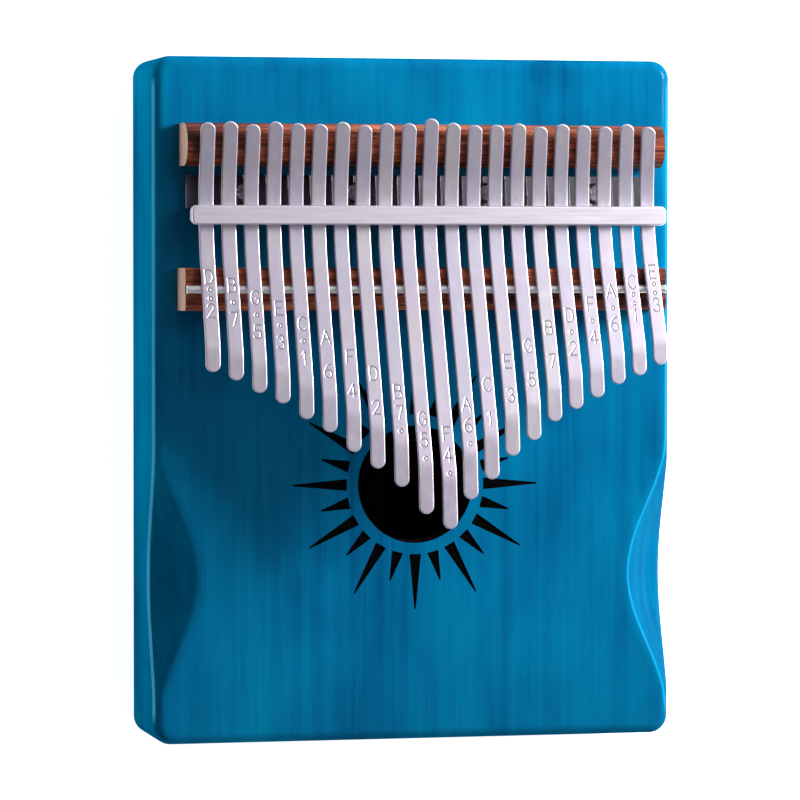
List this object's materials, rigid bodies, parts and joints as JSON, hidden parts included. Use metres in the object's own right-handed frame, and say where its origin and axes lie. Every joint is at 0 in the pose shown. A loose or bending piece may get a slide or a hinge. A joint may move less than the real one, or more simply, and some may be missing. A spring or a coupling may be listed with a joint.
{
  "type": "mbira",
  "caption": "Thumb piano with a hollow wooden box body, side thumb scoops, a round sound hole and a fanned row of sprung steel tines clamped over a bridge.",
  "frame": {"origin": "middle of the back, on the back face, with the instrument lying on its back", "axes": "+Z out of the face, +Y up the body towards the tines' clamped tails, +X to the right as seen from the front"},
  "size_m": [0.144, 0.185, 0.0641],
  "materials": {
    "blue_wood": "blue-stained hardwood, gloss lacquer",
    "plain_wood": "bare hardwood",
    "bar_wood": "red-brown hardwood, oiled",
    "rod_steel": "bright drawn",
    "bracket_chrome": "mirror",
    "satin_steel": "satin nickel",
    "screw_steel": "zinc plated",
    "tine_steel": "satin nickel"
  },
  "bodies": {
    "root": {"body_shell": "blue_wood", "back_panel": "blue_wood", "screw_block": "plain_wood", "backrest": "bar_wood", "bridge": "bar_wood", "bridge_rod": "rod_steel", "bracket": "bracket_chrome", "pressure_bar": "satin_steel", "bracket_screws": "screw_steel", "tine_01_tail": "tine_steel", "tine_02_tail": "tine_steel", "tine_03_tail": "tine_steel", "tine_04_tail": "tine_steel", "tine_05_tail": "tine_steel", "tine_06_tail": "tine_steel", "tine_07_tail": "tine_steel", "tine_08_tail": "tine_steel", "tine_09_tail": "tine_steel", "tine_10_tail": "tine_steel", "tine_11_tail": "tine_steel", "tine_12_tail": "tine_steel", "tine_13_tail": "tine_steel", "tine_14_tail": "tine_steel", "tine_15_tail": "tine_steel", "tine_16_tail": "tine_steel", "tine_17_tail": "tine_steel", "tine_18_tail": "tine_steel", "tine_19_tail": "tine_steel", "tine_20_tail": "tine_steel", "tine_21_tail": "tine_steel"},
    "tine_01": {"tine_01_blade": "tine_steel"},
    "tine_02": {"tine_02_blade": "tine_steel"},
    "tine_03": {"tine_03_blade": "tine_steel"},
    "tine_04": {"tine_04_blade": "tine_steel"},
    "tine_05": {"tine_05_blade": "tine_steel"},
    "tine_06": {"tine_06_blade": "tine_steel"},
    "tine_07": {"tine_07_blade": "tine_steel"},
    "tine_08": {"tine_08_blade": "tine_steel"},
    "tine_09": {"tine_09_blade": "tine_steel"},
    "tine_10": {"tine_10_blade": "tine_steel"},
    "tine_11": {"tine_11_blade": "tine_steel"},
    "tine_12": {"tine_12_blade": "tine_steel"},
    "tine_13": {"tine_13_blade": "tine_steel"},
    "tine_14": {"tine_14_blade": "tine_steel"},
    "tine_15": {"tine_15_blade": "tine_steel"},
    "tine_16": {"tine_16_blade": "tine_steel"},
    "tine_17": {"tine_17_blade": "tine_steel"},
    "tine_18": {"tine_18_blade": "tine_steel"},
    "tine_19": {"tine_19_blade": "tine_steel"},
    "tine_20": {"tine_20_blade": "tine_steel"},
    "tine_21": {"tine_21_blade": "tine_steel"}
  },
  "joints": [
    {"name": "tine_01_flex", "type": "hinge", "parent": "root", "child": "tine_01", "pos_m": [-0.05948, 0.03049, 0.04823], "axis": [1, 0, 0], "range_deg": [-2, 3], "stiffness_Nm_per_rad": 9.186},
    {"name": "tine_02_flex", "type": "hinge", "parent": "root", "child": "tine_02", "pos_m": [-0.05339, 0.03049, 0.04823], "axis": [1, 0, 0], "range_deg": [-2, 3], "stiffness_Nm_per_rad": 8.336},
    {"name": "tine_03_flex", "type": "hinge", "parent": "root", "child": "tine_03", "pos_m": [-0.04729, 0.03049, 0.04823], "axis": [1, 0, 0], "range_deg": [-2, 3], "stiffness_Nm_per_rad": 7.323},
    {"name": "tine_04_flex", "type": "hinge", "parent": "root", "child": "tine_04", "pos_m": [-0.0412, 0.03049, 0.04823], "axis": [1, 0, 0], "range_deg": [-2, 3], "stiffness_Nm_per_rad": 6.645},
    {"name": "tine_05_flex", "type": "hinge", "parent": "root", "child": "tine_05", "pos_m": [-0.0351, 0.03049, 0.04823], "axis": [1, 0, 0], "range_deg": [-2, 3], "stiffness_Nm_per_rad": 5.837},
    {"name": "tine_06_flex", "type": "hinge", "parent": "root", "child": "tine_06", "pos_m": [-0.02899, 0.03049, 0.04823], "axis": [1, 0, 0], "range_deg": [-2, 3], "stiffness_Nm_per_rad": 5.297},
    {"name": "tine_07_flex", "type": "hinge", "parent": "root", "child": "tine_07", "pos_m": [-0.02289, 0.03049, 0.04823], "axis": [1, 0, 0], "range_deg": [-2, 3], "stiffness_Nm_per_rad": 4.653},
    {"name": "tine_08_flex", "type": "hinge", "parent": "root", "child": "tine_08", "pos_m": [-0.01678, 0.03049, 0.04823], "axis": [1, 0, 0], "range_deg": [-2, 3], "stiffness_Nm_per_rad": 4.222},
    {"name": "tine_09_flex", "type": "hinge", "parent": "root", "child": "tine_09", "pos_m": [-0.01066, 0.03049, 0.04823], "axis": [1, 0, 0], "range_deg": [-2, 3], "stiffness_Nm_per_rad": 3.831},
    {"name": "tine_10_flex", "type": "hinge", "parent": "root", "child": "tine_10", "pos_m": [-0.00455, 0.03049, 0.04823], "axis": [1, 0, 0], "range_deg": [-2, 3], "stiffness_Nm_per_rad": 3.366},
    {"name": "tine_11_flex", "type": "hinge", "parent": "root", "child": "tine_11", "pos_m": [0.00157, 0.03049, 0.04823], "axis": [1, 0, 0], "range_deg": [-2, 3], "stiffness_Nm_per_rad": 3.155},
    {"name": "tine_12_flex", "type": "hinge", "parent": "root", "child": "tine_12", "pos_m": [0.00769, 0.03049, 0.04823], "axis": [1, 0, 0], "range_deg": [-2, 3], "stiffness_Nm_per_rad": 3.591},
    {"name": "tine_13_flex", "type": "hinge", "parent": "root", "child": "tine_13", "pos_m": [0.01382, 0.03049, 0.04823], "axis": [1, 0, 0], "range_deg": [-2, 3], "stiffness_Nm_per_rad": 3.957},
    {"name": "tine_14_flex", "type": "hinge", "parent": "root", "child": "tine_14", "pos_m": [0.01995, 0.03049, 0.04823], "axis": [1, 0, 0], "range_deg": [-2, 3], "stiffness_Nm_per_rad": 4.505},
    {"name": "tine_15_flex", "type": "hinge", "parent": "root", "child": "tine_15", "pos_m": [0.02608, 0.03049, 0.04823], "axis": [1, 0, 0], "range_deg": [-2, 3], "stiffness_Nm_per_rad": 4.965},
    {"name": "tine_16_flex", "type": "hinge", "parent": "root", "child": "tine_16", "pos_m": [0.03221, 0.0305, 0.04823], "axis": [1, 0, 0], "range_deg": [-2, 3], "stiffness_Nm_per_rad": 5.651},
    {"name": "tine_17_flex", "type": "hinge", "parent": "root", "child": "tine_17", "pos_m": [0.03835, 0.0305, 0.04823], "axis": [1, 0, 0], "range_deg": [-2, 3], "stiffness_Nm_per_rad": 6.228},
    {"name": "tine_18_flex", "type": "hinge", "parent": "root", "child": "tine_18", "pos_m": [0.04449, 0.0305, 0.04823], "axis": [1, 0, 0], "range_deg": [-2, 3], "stiffness_Nm_per_rad": 6.863},
    {"name": "tine_19_flex", "type": "hinge", "parent": "root", "child": "tine_19", "pos_m": [0.05063, 0.0305, 0.04823], "axis": [1, 0, 0], "range_deg": [-2, 3], "stiffness_Nm_per_rad": 7.813},
    {"name": "tine_20_flex", "type": "hinge", "parent": "root", "child": "tine_20", "pos_m": [0.05678, 0.0305, 0.04823], "axis": [1, 0, 0], "range_deg": [-2, 3], "stiffness_Nm_per_rad": 8.61},
    {"name": "tine_21_flex", "type": "hinge", "parent": "root", "child": "tine_21", "pos_m": [0.06292, 0.0305, 0.04823], "axis": [1, 0, 0], "range_deg": [-2, 3], "stiffness_Nm_per_rad": 9.801}
  ]
}
